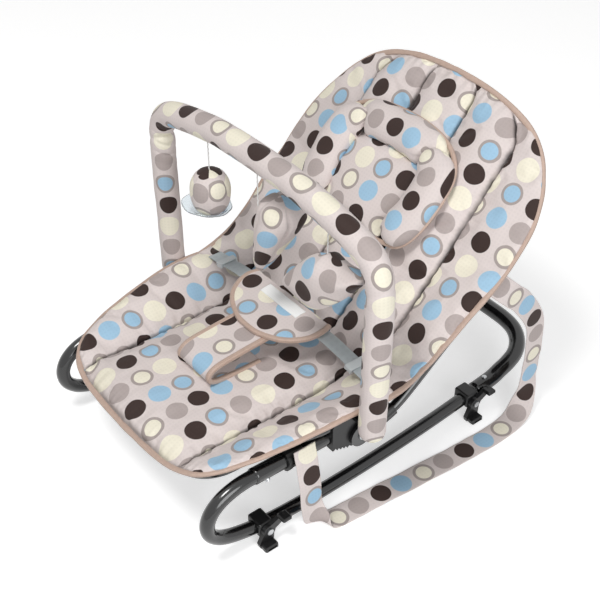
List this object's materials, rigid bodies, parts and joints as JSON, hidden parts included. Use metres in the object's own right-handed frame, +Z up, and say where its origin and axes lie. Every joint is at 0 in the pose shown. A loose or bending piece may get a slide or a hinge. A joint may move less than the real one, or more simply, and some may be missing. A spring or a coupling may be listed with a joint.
{
  "type": "baby rocker",
  "caption": "Baby rocker: bent steel rocker base with fold-out stoppers, reclining padded sling seat, head pillow, lap belt and padded toy bar.",
  "frame": {"origin": "middle of the bounding box, on the floor", "axes": "+Z up from the floor, +Y from the feet towards the head, +X the child's left"},
  "size_m": [0.5792, 0.6827, 0.497],
  "materials": {
    "black_steel": "gloss black powder coat",
    "black_plastic": "satin black moulding",
    "zinc": "zinc plated",
    "polka_fabric": "printed polka-dot cotton",
    "sleeve_fabric": "printed polka-dot cotton over foam",
    "piping": "satin bias binding",
    "webbing": "woven polyester",
    "white_trim": "plain white",
    "clear_plastic": "clear"
  },
  "bodies": {
    "base": {"base_rail_left": "black_steel", "base_rail_right": "black_steel", "rear_cross_tube": "black_steel", "seat_arm_left": "black_steel", "seat_arm_right": "black_steel", "arm_collar_left": "black_plastic", "arm_collar_right": "black_plastic", "seat_frame_tube": "black_steel", "hinge_block_left": "black_plastic", "hinge_block_right": "black_plastic", "hinge_rivet_left": "zinc", "hinge_rivet_right": "zinc", "stopper_clamp_front_left": "black_plastic", "stopper_clamp_front_right": "black_plastic", "stopper_clamp_rear_left": "black_plastic", "stopper_clamp_rear_right": "black_plastic", "stopper_rivet_front_left": "zinc", "stopper_rivet_front_right": "zinc", "stopper_rivet_rear_left": "zinc", "stopper_rivet_rear_right": "zinc", "seat_pad": "polka_fabric", "seat_binding": "piping", "lap_belt": "webbing", "crotch_strap": "polka_fabric", "crotch_flap": "polka_fabric", "label_patch": "white_trim", "carry_strap_left": "polka_fabric", "carry_strap_right": "polka_fabric"},
    "backrest": {"back_pad": "polka_fabric", "back_binding": "piping", "back_frame_tube": "black_steel", "recline_ear_left": "black_steel", "recline_ear_right": "black_steel", "pillow_roll": "polka_fabric", "pillow_pad": "polka_fabric", "strap_tab_left": "polka_fabric", "strap_tab_right": "polka_fabric"},
    "toy_bar": {"toy_bar_sleeve": "sleeve_fabric", "toy_bar_core": "black_steel", "toy_bar_end_left": "black_plastic", "toy_bar_end_right": "black_plastic"},
    "toy_ball": {"toy_ball": "polka_fabric", "toy_ball_dish": "clear_plastic", "toy_ball_string": "white_trim"},
    "toy_fig": {"toy_fig": "polka_fabric", "toy_fig_string": "white_trim"},
    "toy_kite": {"toy_kite": "polka_fabric", "toy_kite_string": "white_trim"},
    "stopper_lever_front_left": {"stopper_lever_front_left": "black_plastic"},
    "stopper_lever_front_right": {"stopper_lever_front_right": "black_plastic"},
    "stopper_lever_rear_left": {"stopper_lever_rear_left": "black_plastic"},
    "stopper_lever_rear_right": {"stopper_lever_rear_right": "black_plastic"},
    "snap_button_rear_left": {"snap_button_rear_left": "zinc"},
    "snap_button_rear_right": {"snap_button_rear_right": "zinc"},
    "snap_button_front_left": {"snap_button_front_left": "zinc"},
    "snap_button_front_right": {"snap_button_front_right": "zinc"},
    "belt_slider_left": {"belt_slider_left": "clear_plastic"},
    "belt_slider_right": {"belt_slider_right": "clear_plastic"}
  },
  "joints": [
    {"name": "backrest_recline", "type": "hinge", "parent": "base", "child": "backrest", "pos_m": [0, -0.0681, 0.113], "axis": [1, 0, 0], "range_deg": [-28, 0]},
    {"name": "toy_bar_swing", "type": "hinge", "parent": "base", "child": "toy_bar", "pos_m": [0, -0.0791, 0.15], "axis": [1, 0, 0], "range_deg": [-5, 40]},
    {"name": "toy_ball_swing", "type": "hinge", "parent": "toy_bar", "child": "toy_ball", "pos_m": [-0.127, -0.0791, 0.45051], "axis": [1, 0, 0], "range_deg": [-20, 20]},
    {"name": "toy_fig_swing", "type": "hinge", "parent": "toy_bar", "child": "toy_fig", "pos_m": [-0.006, -0.0791, 0.45804], "axis": [1, 0, 0], "range_deg": [-20, 20]},
    {"name": "toy_kite_swing", "type": "hinge", "parent": "toy_bar", "child": "toy_kite", "pos_m": [0.149, -0.0791, 0.44671], "axis": [1, 0, 0], "range_deg": [-20, 20]},
    {"name": "stopper_front_left_fold", "type": "hinge", "parent": "base", "child": "stopper_lever_front_left", "pos_m": [-0.2195, -0.2401, 0.026], "axis": [1, 0, 0], "range_deg": [-80, 0]},
    {"name": "stopper_front_right_fold", "type": "hinge", "parent": "base", "child": "stopper_lever_front_right", "pos_m": [0.2195, -0.2401, 0.026], "axis": [1, 0, 0], "range_deg": [-80, 0]},
    {"name": "stopper_rear_left_fold", "type": "hinge", "parent": "base", "child": "stopper_lever_rear_left", "pos_m": [-0.2195, 0.1759, 0.03], "axis": [1, 0, 0], "range_deg": [-80, 0]},
    {"name": "stopper_rear_right_fold", "type": "hinge", "parent": "base", "child": "stopper_lever_rear_right", "pos_m": [0.2195, 0.1759, 0.03], "axis": [1, 0, 0], "range_deg": [-80, 0]},
    {"name": "snap_button_rear_left_press", "type": "slide", "parent": "base", "child": "snap_button_rear_left", "axis": [0, 0, -1], "range_m": [0, 0.003], "stiffness_N_per_m": 900},
    {"name": "snap_button_rear_right_press", "type": "slide", "parent": "base", "child": "snap_button_rear_right", "axis": [0, 0, -1], "range_m": [0, 0.003], "stiffness_N_per_m": 900},
    {"name": "snap_button_front_left_press", "type": "slide", "parent": "base", "child": "snap_button_front_left", "axis": [0.7071, 0, 0.7071], "range_m": [0, 0.003], "stiffness_N_per_m": 900},
    {"name": "snap_button_front_right_press", "type": "slide", "parent": "base", "child": "snap_button_front_right", "axis": [-0.7071, 0, 0.7071], "range_m": [0, 0.003], "stiffness_N_per_m": 900},
    {"name": "belt_slider_left_slide", "type": "slide", "parent": "base", "child": "belt_slider_left", "axis": [0.9795, -0.0471, 0.1959], "range_m": [0, 0.03]},
    {"name": "belt_slider_right_slide", "type": "slide", "parent": "base", "child": "belt_slider_right", "axis": [-0.9795, -0.0471, 0.1959], "range_m": [0, 0.03]}
  ]
}
